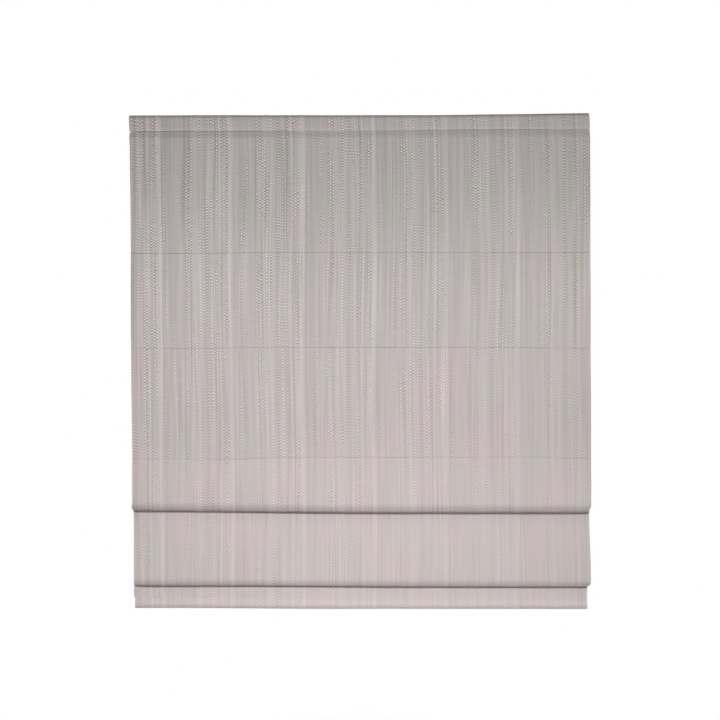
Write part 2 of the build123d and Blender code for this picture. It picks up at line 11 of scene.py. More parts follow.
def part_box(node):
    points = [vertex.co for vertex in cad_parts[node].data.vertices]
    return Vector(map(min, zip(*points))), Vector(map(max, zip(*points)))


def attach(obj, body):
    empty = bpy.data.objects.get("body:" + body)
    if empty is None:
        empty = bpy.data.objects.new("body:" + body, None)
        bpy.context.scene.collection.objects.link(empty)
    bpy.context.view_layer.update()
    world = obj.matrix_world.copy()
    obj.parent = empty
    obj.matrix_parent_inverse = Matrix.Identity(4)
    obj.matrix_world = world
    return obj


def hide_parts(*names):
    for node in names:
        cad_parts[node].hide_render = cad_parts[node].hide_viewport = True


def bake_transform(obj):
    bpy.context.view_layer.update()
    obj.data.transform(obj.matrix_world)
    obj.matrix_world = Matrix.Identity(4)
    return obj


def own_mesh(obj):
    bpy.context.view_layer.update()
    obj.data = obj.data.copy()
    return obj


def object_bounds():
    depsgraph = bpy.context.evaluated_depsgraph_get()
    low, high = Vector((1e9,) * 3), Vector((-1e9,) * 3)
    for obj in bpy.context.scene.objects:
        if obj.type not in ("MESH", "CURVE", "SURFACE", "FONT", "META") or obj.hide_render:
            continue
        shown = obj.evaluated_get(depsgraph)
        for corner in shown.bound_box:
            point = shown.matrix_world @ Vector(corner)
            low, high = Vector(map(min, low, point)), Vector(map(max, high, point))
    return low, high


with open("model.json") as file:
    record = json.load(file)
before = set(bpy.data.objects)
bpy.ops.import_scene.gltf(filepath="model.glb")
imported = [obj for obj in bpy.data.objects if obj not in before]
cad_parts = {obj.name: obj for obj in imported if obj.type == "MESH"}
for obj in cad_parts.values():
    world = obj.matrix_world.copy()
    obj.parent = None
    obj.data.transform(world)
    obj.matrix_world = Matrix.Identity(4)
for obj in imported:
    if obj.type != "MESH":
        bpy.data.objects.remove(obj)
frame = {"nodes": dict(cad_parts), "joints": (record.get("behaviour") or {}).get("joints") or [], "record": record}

cad_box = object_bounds()

bl_info = {
    "name": "Roman blind",
    "version": (1, 0, 0),
    "blender": (4, 5, 0),
    "location": "View3D > Sidebar > Blind",
    "description": "Dresses the frame of a roman blind with its cloth, thread and finishes",
    "category": "Object",
}

# Places read from the frame, in metres: X runs across, the room lies towards -Y, Z is up
ROWS = 5
MM = 0.001
STITCH_PITCH = 4.2 * MM
STITCH_WIDTH = 0.38 * MM
STITCH_SHARE = 0.72
# Cloth taken up by the header's seam and by each tuck, and where the folds' pattern starts
SEAM_ALLOWANCE = 12 * MM
UPPER_TUCK = 26 * MM
LOWER_TUCK = 24 * MM
FOLDS_START = 950 * MM


def middle(node):
    """Middle of a node of the frame at rest"""
    low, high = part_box(node)
    return (low + high) / 2


rods = [middle(f"rod_{row}") for row in range(1, ROWS + 1)]
bar = middle("weight_bar")
cloth_low, cloth_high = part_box("fabric")
header_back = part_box("loop_tape")[0].y
ring_places = [x * MM for x in (-525, -175, 175, 525)]
row_bodies = ["row_1", "row_2", "row_3", "row_4", "hem"]


class BlindCloth(PropertyGroup):
    """Sizes of the cloth and its seams"""

    thickness: FloatProperty(
        name="Cloth", description="Thickness of one layer", default=0.0008, unit="LENGTH"
    )
    width: FloatProperty(name="Width", description="Finished width of the cloth", default=1.2, unit="LENGTH")
    side_hem: FloatProperty(
        name="Side hem", description="Width turned back at each side", default=0.028, unit="LENGTH"
    )
    side_stitch: FloatProperty(
        name="Side stitch", description="Distance of the side stitching from the edge", default=0.015,
        unit="LENGTH",
    )
    header_width: FloatProperty(
        name="Header width", description="Width of the header", default=1.201, unit="LENGTH"
    )
    header_height: FloatProperty(
        name="Header height", description="Front of the header", default=0.044, unit="LENGTH"
    )
    header_thickness: FloatProperty(
        name="Header thickness", description="Two layers and the seam allowance", default=0.0022,
        unit="LENGTH",
    )
    header_roll: FloatProperty(
        name="Header roll", description="Radius over the rail", default=0.014, unit="LENGTH"
    )
    header_return: FloatProperty(name="Return", description="Flat part on top", default=0.003, unit="LENGTH")
    tuck_gap: FloatProperty(
        name="Tuck gap", description="Gap between a tuck's layers", default=0.0007, unit="LENGTH"
    )
    tuck_stem: FloatProperty(
        name="Tuck stem", description="Stitched part of a tuck", default=0.0052, unit="LENGTH"
    )
    pocket_radius: FloatProperty(
        name="Pocket", description="Outer radius of a rod pocket", default=0.0066, unit="LENGTH"
    )
    fold_a_rise: FloatProperty(
        name="Upper fold", description="Rise of its back layer", default=0.084, unit="LENGTH"
    )
    fold_b_rise: FloatProperty(
        name="Lower fold", description="Rise of its back layer", default=0.068, unit="LENGTH"
    )
    hem_height: FloatProperty(
        name="Hem", description="Height of the bar's pocket", default=0.0236, unit="LENGTH"
    )
    hem_depth: FloatProperty(
        name="Hem depth", description="Depth of the bar's pocket", default=0.0056, unit="LENGTH"
    )
    grid: FloatProperty(
        name="Grid", description="Longest side of a face of the cloth", default=0.006, unit="LENGTH"
    )


class BlindWeave(PropertyGroup):
    """The stripes and colours of the jacquard cloth"""

    start: FloatProperty(
        name="Start", description="Left edge of a bright stripe", default=-0.530, unit="LENGTH"
    )
    repeat: FloatProperty(
        name="Repeat", description="Distance between bright stripes", default=0.187, unit="LENGTH"
    )
    relief: FloatProperty(
        name="Relief", description="How far a satin stripe stands up", default=0.0002, unit="LENGTH"
    )
    figure: FloatProperty(
        name="Figure", description="Height of the woven figures", default=0.0075, unit="LENGTH"
    )
    column: FloatProperty(
        name="Column", description="Width of a column of dots", default=0.0066, unit="LENGTH"
    )
    ladder: FloatProperty(
        name="Ladder", description="Width of a ladder and its gap", default=0.0093, unit="LENGTH"
    )
    light: FloatVectorProperty(
        name="Light thread", description="Linear colour", subtype="COLOR", default=(0.80, 0.735, 0.73)
    )
    dark: FloatVectorProperty(
        name="Dark thread", description="Linear colour", subtype="COLOR", default=(0.235, 0.205, 0.20)
    )
    stitch: FloatVectorProperty(
        name="Stitching", description="Linear colour", subtype="COLOR", default=(0.33, 0.31, 0.30)
    )


class BlindStudio(PropertyGroup):
    """Lamps, backdrop and camera"""

    front_lamp: FloatProperty(name="Front lamp", description="Power in watts", default=19.0)
    upper_lamp: FloatProperty(name="Upper lamp", description="Power in watts", default=4.7)
    back_lamp: FloatProperty(name="Back lamp", description="Power in watts", default=25.0)
    ambient: FloatProperty(name="Ambient", description="Strength of the room's light", default=0.34)
    floor_drop: FloatProperty(name="Floor", description="Height of the floor", default=-2.0, unit="LENGTH")
    camera_place: FloatVectorProperty(
        name="Camera", description="Where the camera stands", subtype="XYZ", unit="LENGTH",
        default=(0.0196, -1.886, -0.6232),
    )
    camera_turn: FloatVectorProperty(
        name="Camera turn", description="Pitch, roll and yaw", subtype="EULER", unit="ROTATION",
        default=(0.0, 0.0023, 0.0102),
    )
    lens: FloatProperty(name="Lens", description="Focal length in millimetres", default=35.32)


# Bands of the weave from the left edge of the bright stripe, in millimetres:
# start, end, tone (0.5 is the ground), strength of the twill and strength of the ladder
WOVEN_BANDS = {
    "bright satin stripe": (1, 11, 0.59, 0.25, 0.0),
    "dull edge of the satin": (14, 38, 0.46, 0.0, 0.0),
    "plain satin": (42, 70, 0.49, 0.0, 0.0),
    "herringbone": (74, 91, 0.48, 1.0, 0.0),
    "light satin": (94, 107, 0.53, 0.0, 0.0),
    "dotted column": (110, 116, 0.54, 0.3, 0.9),
    "first plain line": (118, 122, 0.50, 0.0, 0.0),
    "dark ladder": (125, 133, 0.45, 0.0, 1.0),
    "second plain line": (135, 138, 0.51, 0.0, 0.0),
    "light ladder": (140, 145, 0.52, 0.9, 0.2),
    "third plain line": (147, 149, 0.50, 0.0, 0.0),
    "dark twill": (151, 160, 0.46, 1.0, 0.0),
    "bright line": (163, 167, 0.57, 0.2, 0.0),
    "dark line": (169, 174, 0.46, 0.7, 0.0),
    "diagonal twill": (177, 186, 0.50, 1.0, 0.0),
}
RAISED_BANDS = ("bright satin stripe", "light satin")


class Term:
    """A number in a shader, which can be used in arithmetic"""

    def __init__(self, tree, socket):
        self.tree = tree
        self.socket = socket

    def maths(self, operation, *values):
        """Adds a Math node and returns its result"""
        step = self.tree.nodes.new("ShaderNodeMath")
        step.operation = operation
        for place, value in enumerate(values):
            if isinstance(value, Term):
                self.tree.links.new(value.socket, step.inputs[place])
            else:
                step.inputs[place].default_value = value
        return Term(self.tree, step.outputs[0])

    def __add__(self, other):
        return self.maths("ADD", self, other)

    def __radd__(self, other):
        return self.maths("ADD", other, self)

    def __sub__(self, other):
        return self.maths("SUBTRACT", self, other)

    def __rsub__(self, other):
        return self.maths("SUBTRACT", other, self)

    def __mul__(self, other):
        return self.maths("MULTIPLY", self, other)

    def __rmul__(self, other):
        return self.maths("MULTIPLY", other, self)

    def __truediv__(self, other):
        return self.maths("DIVIDE", self, other)

    def __rtruediv__(self, other):
        return self.maths("DIVIDE", other, self)


class Finish:
    """A material, or the world, whose nodes are written as expressions"""

    def __init__(self, name, owner=None):
        self.owner = owner or bpy.data.materials.new(name)
        self.owner.use_nodes = True
        self.tree = self.owner.node_tree
        self.tree.nodes.clear()

    def node(self, kind, settings=None, inputs=None, output=0):
        """Adds one node with its settings and inputs, and returns one of its outputs"""
        made = self.tree.nodes.new(kind)
        for key, value in (settings or {}).items():
            if key == "stops":
                self.set_stops(made.color_ramp, value)
            else:
                setattr(made, key, value)
        for key, value in (inputs or {}).items():
            if isinstance(value, Term):
                self.tree.links.new(value.socket, made.inputs[key])
            else:
                made.inputs[key].default_value = value
        return Term(self.tree, made.outputs[output]) if made.outputs else None

    def set_stops(self, ramp, stops):
        """Gives a ramp its stops, each a position and a colour"""
        while len(ramp.elements) > 1:
            ramp.elements.remove(ramp.elements[-1])
        ramp.elements[0].position = stops[0][0]
        ramp.elements[0].color = (*stops[0][1], 1.0)
        for position, colour in stops[1:]:
            ramp.elements.new(position).color = (*colour, 1.0)

    def mix(self, share, first, second):
        """Mixes two colours"""
        return self.node(
            "ShaderNodeMix", {"data_type": "RGBA"}, {"Factor": share, 6: first, 7: second}, output=2
        )

    def noise(self, where, scale, detail=2.0, stretch=(1.0, 1.0, 1.0)):
        """Soft noise from 0 to 1 on a place, with its scale along each axis"""
        placed = self.node("ShaderNodeVectorMath", {"operation": "MULTIPLY"}, {0: where, 1: stretch})
        return self.node("ShaderNodeTexNoise", None, {"Vector": placed, "Scale": scale, "Detail": detail})

    def surface(self, **sockets):
        """Ends the material in a Principled shader with these values on its sockets"""
        values = {key.replace("_", " "): value for key, value in sockets.items()}
        shader = self.node("ShaderNodeBsdfPrincipled", None, values)
        self.node("ShaderNodeOutputMaterial", None, {"Surface": shader})
        return self.owner


def rgba(colour):
    """A colour with full cover"""
    return (*colour, 1.0)


def jacquard(weave, cloth):
    """The striped cloth: satin stripes, herringbone, ladders and fine streaks along the warp"""
    finish = Finish("jacquard_cloth")
    place = finish.node("ShaderNodeUVMap", {"uv_map": "cloth"})
    split = {"Vector": place}
    across = finish.node("ShaderNodeSeparateXYZ", None, split, output=0) * 1000.0
    along = finish.node("ShaderNodeSeparateXYZ", None, split, output=1) * 1000.0

    start = weave.start * 1000.0
    repeat = weave.repeat * 1000.0
    figure = weave.figure * 1000.0
    turn = (across - start) / repeat
    phase = turn.maths("FRACT", turn)
    stops = []
    for first, last, tone, twill, ladder in WOVEN_BANDS.values():
        stops.append((first / repeat, (tone, twill, ladder)))
        stops.append((last / repeat, (tone, twill, ladder)))
    bands = finish.node("ShaderNodeValToRGB", {"stops": stops}, {"Fac": phase})
    parts = {"Color": bands}
    tone = finish.node("ShaderNodeSeparateColor", None, parts, output=0)
    twill = finish.node("ShaderNodeSeparateColor", None, parts, output=1)
    ladder = finish.node("ShaderNodeSeparateColor", None, parts, output=2)

    thread = across / (weave.column * 1000.0)
    inside = thread.maths("FRACT", thread)
    column = thread.maths("FLOOR", thread)
    ridge = inside.maths("SINE", inside * math.pi)
    zigzag = column / 6.0
    zigzag = abs_of(zigzag.maths("FRACT", zigzag) - 0.5) * 2.3
    drift = finish.noise(place, 1.0, 1.0, (2.0, 9.0, 1.0)) * 2.0
    rows = along / figure + drift
    lifted = rows + zigzag
    dots = wave_of(lifted) * (ridge * 1.5 - 0.5)
    ladders = across / (weave.ladder * 1000.0)
    step = ladders.maths("FLOOR", ladders)
    shift = finish.node("ShaderNodeTexWhiteNoise", {"noise_dimensions": "1D"}, {"W": step})
    rungs = wave_of(rows + shift) * held_between(wave_of(ladders) * 2.0, 0.0, 1.0)
    cell = finish.node("ShaderNodeCombineXYZ", None, {0: column, 1: lifted.maths("FLOOR", lifted)})
    chance = finish.node("ShaderNodeTexWhiteNoise", {"noise_dimensions": "2D"}, {"Vector": cell})
    dots = dots * (0.15 + chance * 1.5) + (ridge - 0.64) * 0.4

    faded = held_between(1.25 - along * 0.00042 - across * 0.0003, 0.5, 1.4)
    patch = finish.noise(place, 1.0, 1.0, (42.0, 7.0, 1.0))
    shown = held_between((patch - 0.38) * 5.0, 0.1, 1.0) * faded
    stray = held_between((finish.noise(place, 1.0, 0.0, (60.0, 2.0, 1.0)) - 0.55) * 8.0, 0.0, 0.8)
    twill = twill.maths("MAXIMUM", twill, stray)
    strength = 0.72 - along * 0.00026 - across * 0.0001
    figured = (dots * twill + rungs * ladder) * shown * strength

    fine = finish.noise(place, 1.0, 1.0, (230.0, 3.0, 1.0)) - 0.5
    broad = finish.noise(place, 1.0, 1.0, (95.0, 1.4, 1.0)) - 0.5
    bars = finish.noise(place, 1.0, 1.0, (24.0, 330.0, 1.0)) - 0.5
    streaks = fine * (0.34 + twill * 0.3) + broad * 0.14
    level = 0.5 + (tone - 0.5 + streaks + bars * 0.12) * faded + figured * 0.75

    side_line = (cloth.width / 2 - cloth.side_stitch) * 1000.0
    # Beyond the side stitching the cloth is painted a little darker: painted shade of the doubled side hem. The
    # stitching itself is a dotted line of dark thread.
    painted_hem_shade = held_between((abs_of(across) - side_line) * 0.5, 0.0, 1.0)
    stitched = held_between(1.6 - abs_of(abs_of(across) - (side_line - 0.5)), 0.0, 1.0) * (0.5 + rungs * 0.5)
    level = held_between(level - painted_hem_shade * 0.03 - stitched * 0.07, 0.0, 1.0)

    colour = finish.mix(level, rgba(weave.dark), rgba(weave.light))
    patches = finish.noise(place, 1.0, 2.0, (14.0, 6.0, 1.0))
    hue = (patches - 0.5) * 2.4 + 0.5
    tint = finish.node(
        "ShaderNodeValToRGB",
        {"stops": [(0.1, (0.972, 1.006, 0.95)), (0.5, (1.0, 1.0, 1.0)), (0.9, (1.02, 0.982, 1.0))]},
        {"Fac": hue},
    )
    product = {"data_type": "RGBA", "blend_type": "MULTIPLY"}
    colour = finish.node("ShaderNodeMix", product, {"Factor": 1.0, 6: colour, 7: tint}, output=2)

    warp = wave_of(across / 0.9)
    weft = wave_of(along / 0.9)
    height = figured * 0.5 + tone * 0.6 + warp * weft * 0.12 + fine * 0.5
    bump = finish.node("ShaderNodeBump", None, {"Strength": 0.5, "Distance": 0.0004, "Height": height})
    roughness = 0.86 - tone * 0.35 + figured * 0.08
    return finish.surface(
        Base_Color=colour, Roughness=roughness, Normal=bump, Sheen_Weight=0.18, Sheen_Roughness=0.45,
        Specular_IOR_Level=0.3,
    )


def abs_of(value):
    """Distance from zero"""
    return value.maths("ABSOLUTE", value)


def held_between(value, low, high):
    """The value, no lower and no higher than its limits"""
    return value.maths("MINIMUM", value.maths("MAXIMUM", value, low), high)


def wave_of(turns):
    """A sine of a number of turns"""
    return turns.maths("SINE", turns * (2.0 * math.pi))


def thread(weave):
    """Spun sewing thread"""
    finish = Finish("sewing_thread")
    place = finish.node("ShaderNodeTexCoord", None, None, output=3)
    twist = finish.noise(place, 900.0, 1.0)
    colour = finish.mix(twist, rgba([0.8 * c for c in weave.stitch]), rgba([1.2 * c for c in weave.stitch]))
    bump = finish.node("ShaderNodeBump", None, {"Strength": 0.4, "Distance": 0.0001, "Height": twist})
    return finish.surface(Base_Color=colour, Roughness=0.7, Normal=bump, Sheen_Weight=0.3)


def moulded(name, colour, roughness, grain=900.0, depth=0.00004, coat=0.0):
    """Moulded or coated surface with a fine grain and faint flow marks"""
    finish = Finish(name)
    place = finish.node("ShaderNodeTexCoord", None, None, output=3)
    flow = finish.noise(place, 18.0, 3.0, (0.4, 1.0, 1.0))
    dark = [0.93 * c for c in colour]
    light = [min(1.0, 1.05 * c) for c in colour]
    shade = finish.mix(flow, rgba(dark), rgba(light))
    speck = finish.noise(place, grain, 2.0)
    bump = finish.node("ShaderNodeBump", None, {"Strength": 0.5, "Distance": depth, "Height": speck})
    rough = roughness - 0.06 + flow * 0.12
    return finish.surface(
        Base_Color=shade, Roughness=rough, Normal=bump, Coat_Weight=coat, Coat_Roughness=0.2
    )


def drawn_metal(name, colour, roughness, lengthwise=True, plated=False):
    """Metal with the fine lines of rolling or drawing, and the spangle of zinc where it is plated"""
    finish = Finish(name)
    place = finish.node("ShaderNodeTexCoord", None, None, output=3)
    stretch = (6.0, 900.0, 900.0) if lengthwise else (900.0, 900.0, 20.0)
    lines = finish.noise(place, 1.0, 2.0, stretch)
    tone = lines * 0.5 + 0.25
    if plated:
        cells = finish.node("ShaderNodeTexVoronoi", None, {"Vector": place, "Scale": 260.0})
        tone = tone * 0.6 + cells * 0.5
    shade = finish.mix(tone, rgba([0.78 * c for c in colour]), rgba(colour))
    bump = finish.node("ShaderNodeBump", None, {"Strength": 0.3, "Distance": 0.00003, "Height": lines})
    rough = roughness + (lines - 0.5) * 0.16
    return finish.surface(Base_Color=shade, Roughness=rough, Metallic=1.0, Normal=bump)


def pile(name, colour, spacing, height):
    """Tape with rows of hooks or a mat of loops, with painted shade on the ground between them"""
    finish = Finish(name)
    place = finish.node("ShaderNodeTexCoord", None, None, output=3)
    cells = finish.node("ShaderNodeTexVoronoi", {"feature": "F1"}, {"Vector": place, "Scale": 1.0 / spacing})
    mat = finish.noise(place, 700.0, 3.0)
    # Colour darkens from each hook or loop out to the ground between them: painted shade in the pile
    tone = 1.0 - cells * 0.9
    tone = tone * 0.7 + mat * 0.3
    shade = finish.mix(tone, rgba([0.62 * c for c in colour]), rgba(colour))
    bump = finish.node("ShaderNodeBump", None, {"Strength": 0.9, "Distance": height, "Height": tone})
    return finish.surface(Base_Color=shade, Roughness=0.8, Normal=bump, Sheen_Weight=0.2)


def glass_fibre(name):
    """Pultruded rod: pale resin with fibres along it"""
    finish = Finish(name)
    place = finish.node("ShaderNodeTexCoord", None, None, output=3)
    fibres = finish.noise(place, 1.0, 2.0, (12.0, 2500.0, 2500.0))
    shade = finish.mix(fibres, (0.55, 0.53, 0.40, 1.0), (0.78, 0.76, 0.64, 1.0))
    bump = finish.node("ShaderNodeBump", None, {"Strength": 0.3, "Distance": 0.00003, "Height": fibres})
    return finish.surface(Base_Color=shade, Roughness=0.38, Normal=bump, Coat_Weight=0.3, Coat_Roughness=0.2)


def settle(value):
    """Rises smoothly from 0 to 1 while the value does"""
    held = np.clip(value, 0.0, 1.0)
    return held * held * (3.0 - 2.0 * held)


def stations(points, radii, step, turn_step=math.radians(15)):
    """Places along a run of cloth in (y, z), the way to its wrong side, and the distance at each"""
    path = [(Vector(points[0]), None)]
    start = Vector(points[0])
    for place, radius in enumerate(radii, start=1):
        corner = Vector(points[place])
        before = (corner - Vector(points[place - 1])).normalized()
        after = (Vector(points[place + 1]) - corner).normalized()
        angle = math.atan2(before.x * after.y - before.y * after.x, before.dot(after))
        reach = radius * math.tan(abs(angle) / 2)
        entry = corner - before * reach
        count = max(1, math.ceil((entry - start).length / step))
        path += [(start.lerp(entry, k / count), before) for k in range(1, count + 1)]
        side = math.copysign(1.0, angle)
        centre = entry + Vector((-before.y, before.x)) * radius * side
        turns = max(2, math.ceil(abs(angle) / turn_step))
        for k in range(1, turns + 1):
            phi = angle * k / turns
            way = Vector((
                before.x * math.cos(phi) - before.y * math.sin(phi),
                before.x * math.sin(phi) + before.y * math.cos(phi),
            ))
            path.append((centre - Vector((-way.y, way.x)) * radius * side, way))
        start = corner + after * reach
    end = Vector(points[-1])
    last = (end - start).normalized()
    count = max(1, math.ceil((end - start).length / step))
    path += [(start.lerp(end, k / count), last) for k in range(1, count + 1)]
    path[0] = (path[0][0], path[1][1])
    places = np.array([p for p, way in path])
    normals = np.array([(-way.y, way.x) for p, way in path])
    steps = np.linalg.norm(np.diff(places, axis=0), axis=1)
    return places, normals, np.concatenate([[0.0], np.cumsum(steps)])


def columns(cloth, weave, half, hemmed=True):
    """Places across the cloth: x, depth behind the right side, and distance along the cloth"""
    radius = cloth.thickness * 1.04
    flat = half - radius if hemmed else half
    marks = [-flat, flat]
    for side in (-1, 1):
        stitch = half - cloth.side_stitch
        marks += [side * (stitch + reach) for reach in (-0.0012, 0.0, 0.0012)]
    raised = []
    for turn in range(-2, math.ceil(2 * half / weave.repeat) + 1):
        for name in RAISED_BANDS:
            first, last = WOVEN_BANDS[name][:2]
            low = weave.start + turn * weave.repeat + first * 0.001
            high = low + (last - first) * 0.001
            if low > -stitch + 0.003 and high < stitch - 0.003:
                raised.append((low, high))
                marks += [low - 0.0004, low, high, high + 0.0004]
    marks = sorted(marks)
    places = [marks[0]]
    for first, last in zip(marks, marks[1:]):
        count = max(1, math.ceil((last - first) / cloth.grid))
        places += [first + (last - first) * k / count for k in range(1, count + 1)]
    x = np.array(places)
    depth = np.zeros(len(x))
    for low, high in raised:
        depth[(x > low - 0.0001) & (x < high + 0.0001)] = -weave.relief
    for side in (-1, 1):
        depth += 0.0003 * (np.abs(x - side * stitch) < 0.0001)
    along = x.copy()
    if not hemmed:
        return x, depth, along
    turns = np.radians(np.arange(22.5, 181, 22.5))
    round_x = flat + radius * np.sin(turns)
    round_depth = radius * (1 - np.cos(turns))
    round_along = flat + radius * turns
    back = np.linspace(flat, half - cloth.side_hem, 5)[1:]
    side_x = np.concatenate([round_x, back])
    side_depth = np.concatenate([round_depth, np.full(len(back), 2 * radius)])
    side_along = np.concatenate([round_along, round_along[-1] + flat - back])
    return (
        np.concatenate([-side_x[::-1], x, side_x]),
        np.concatenate([side_depth[::-1], depth, side_depth]),
        np.concatenate([-side_along[::-1], along, side_along]),
    )


def lay_cloth(name, across, run, start, cloth, shape):
    """One sheet of cloth laid over a run, with its thickness, woven pattern and side hems"""
    x, depth, along = across
    places, normals, distance = run
    bpy.ops.object.select_all(action="DESELECT")
    bpy.ops.mesh.primitive_grid_add(x_subdivisions=len(x) - 1, y_subdivisions=len(distance) - 1, size=2)
    sheet = bpy.context.object
    sheet.name = name
    sheet.data.name = name
    mesh = sheet.data
    flat = np.empty(len(mesh.vertices) * 3)
    mesh.vertices.foreach_get("co", flat)
    flat = flat.reshape(-1, 3)
    column = np.rint((flat[:, 0] + 1) / 2 * (len(x) - 1)).astype(int)
    row = np.rint((flat[:, 1] + 1) / 2 * (len(distance) - 1)).astype(int)
    laid = np.empty_like(flat)
    laid[:, 0] = x[column]
    laid[:, 1] = places[row, 0] + normals[row, 0] * depth[column]
    laid[:, 2] = places[row, 1] + normals[row, 1] * depth[column]
    laid += np.stack(shape(laid[:, 0], places[row, 0], places[row, 1]), axis=1)
    mesh.vertices.foreach_set("co", laid.ravel())
    corners = np.empty(len(mesh.loops), int)
    mesh.loops.foreach_get("vertex_index", corners)
    pattern = mesh.uv_layers[0]
    pattern.name = "cloth"
    spots = np.stack([along[column[corners]], start + distance[row[corners]]], axis=1)
    pattern.data.foreach_set("uv", spots.ravel())
    mesh.update()
    centre = len(x) // 2
    sample = [p for p in mesh.polygons if column[p.vertices[0]] == centre and row[p.vertices[0]] == 1][0]
    wrong = normals[row[sample.vertices[0]]]
    if sample.normal.y * wrong[0] + sample.normal.z * wrong[1] > 0:
        bpy.ops.object.mode_set(mode="EDIT")
        bpy.ops.mesh.select_all(action="SELECT")
        bpy.ops.mesh.flip_normals()
        bpy.ops.object.mode_set(mode="OBJECT")
    wall = sheet.modifiers.new("thickness", "SOLIDIFY")
    wall.thickness = cloth.thickness
    wall.offset = -1.0
    bpy.ops.object.modifier_apply(modifier=wall.name)
    bpy.ops.object.shade_smooth_by_angle(angle=math.radians(50))
    mesh.materials.clear()
    mesh.materials.append(bpy.data.materials["jacquard_cloth"])
    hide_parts("fabric")
    return sheet


def hanging(x, z, amount):
    """Soft unevenness of hanging cloth"""
    broad = np.sin(4.1 * x + 1.3 + 1.7 * np.sin(3.0 * z)) * np.sin(5.2 * z + 0.6)
    small = np.sin(13.0 * x + 2.2 * z + 0.4) * np.sin(9.0 * z + 2.0 * x + 1.1)
    return amount * (0.65 * broad + 0.35 * small)


def lean(x, z):
    """How the cloth's sides draw in towards the bottom"""
    upper = settle((-0.04 - z) / 0.25)
    lower = settle((-0.55 - z) / 0.30)
    left = settle((0.1 - x) / 0.7) * (0.0021 * upper + 0.0024 * lower)
    right = settle((x - 0.1) / 0.5) * 0.0006 * lower
    return left + right


def sway(x, z):
    """How the warp wanders sideways, fading out at the sides"""
    free = 1.0 - np.abs(x / half_width()) ** 6
    return 0.0022 * np.clip(free, 0, 1) * np.sin(7.0 * z + 2.5 * np.sin(2.2 * x + 0.8) + 1.0)


def edge_roll(x, half, fall=0.0011):
    """How the doubled side edges fall back"""
    reach = bpy.context.scene.blind_cloth.side_stitch
    return fall * settle((np.abs(x) - (half - reach)) / reach)


def tucked_under(height, reach, depth, power=1.2):
    """How far the cloth falls back as it comes down to a fold"""
    return depth * np.clip(1 - height / reach, 0, 1) ** power


def front_share(y, front, back):
    """1 on the front layer, falling to 0 on the back layer"""
    return np.clip(1 - (y - front) / (back - front), 0, 1)


# Unevenness from the left side of the cloth to the right, in millimetres: how far each row's line
# rises above its rod, how wide it gapes, and how the top of the header rises and falls
ROW_RISES = {
    1: (1.5, 1.0, 3.0, 2.0, 1.5, 0.0, 0.0),
    2: (-2.0, -1.0, 0.5, 0.0, -1.0, -2.0, -3.0),
    3: (-6.0, -6.0, -1.5, 0.0, 0.0, 0.0, -3.0),
}
ROW_GAPS = {
    1: (0.12, 0.14, 0.08, 0.06, 0.06, 0.05, 0.03),
    2: (0.0, 0.02, 0.02, 0.02, 0.04, 0.04, 0.02),
    3: (0.06, 0.1, 0.02, 0.03, 0.05, 0.08, 0.06),
}
HEADER_RISE = (3.8, 3.4, 2.2, 1.0, 0.2, 1.4, 3.0)


def uneven(values, x):
    """Values set evenly across the cloth in millimetres, joined smoothly"""
    spots = (x / (2 * half_width()) + 0.5) * (len(values) - 1)
    first = np.clip(np.floor(spots), 0, len(values) - 2).astype(int)
    low = np.array(values)[first]
    high = np.array(values)[first + 1]
    return MM * (low + (high - low) * settle(spots - first))


def row_wave(row, x):
    """Height of the cloth's line at a row above its rod"""
    return uneven(ROW_RISES[row], x) if row in ROW_RISES else 0.0 * x


def gape(row, x, away):
    """How far a lip of a row's line stands off, at a distance from it"""
    return uneven(ROW_GAPS[row], x) * settle(1 - away / 0.004) if row in ROW_GAPS else 0.0 * x


def half_width():
    """Half the finished width of the cloth"""
    return bpy.context.scene.blind_cloth.width / 2


class Seams:
    """Heights and depths of the cloth's seams, worked out from the frame and the cloth's sizes"""

    def __init__(self):
        cloth = bpy.context.scene.blind_cloth
        self.cloth = cloth
        self.weave = bpy.context.scene.blind_weave
        self.header_face = header_back - cloth.header_thickness
        self.header_top = cloth_high.z - self.weave.relief
        self.seam = self.header_top - cloth.header_height
        self.pocket_middle = cloth.pocket_radius - cloth.thickness / 2
        self.face = rods[0].y - cloth.pocket_radius - cloth.tuck_stem - cloth.thickness
        half_gap = cloth.tuck_gap / 2
        self.fold_a_face = rods[3].y - half_gap
        self.panel_b_face = rods[3].y + half_gap
        self.fold_b_face = rods[4].y - half_gap
        self.flap_face = rods[4].y + half_gap
        self.fold_a = rods[3].z - cloth.fold_a_rise
        self.fold_b = rods[4].z - cloth.fold_b_rise
        self.hem = cloth_low.z
        self.lip = 0.0022
        self.lip_turn = 0.0008
        self.lip_gap = 0.00009
        self.fold_a_turn = (self.fold_a_face - self.face) / 2 * 0.985
        self.fold_b_turn = (self.fold_b_face - self.panel_b_face) / 2 * 0.985


def declare(sheet, body, width=None):
    """Hangs a sheet on the body it rides on; the size it was cut to is worked out but not used"""
    cloth = bpy.context.scene.blind_cloth
    width = width or cloth.width + 2 * cloth.side_hem
    if body:
        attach(sheet, body)


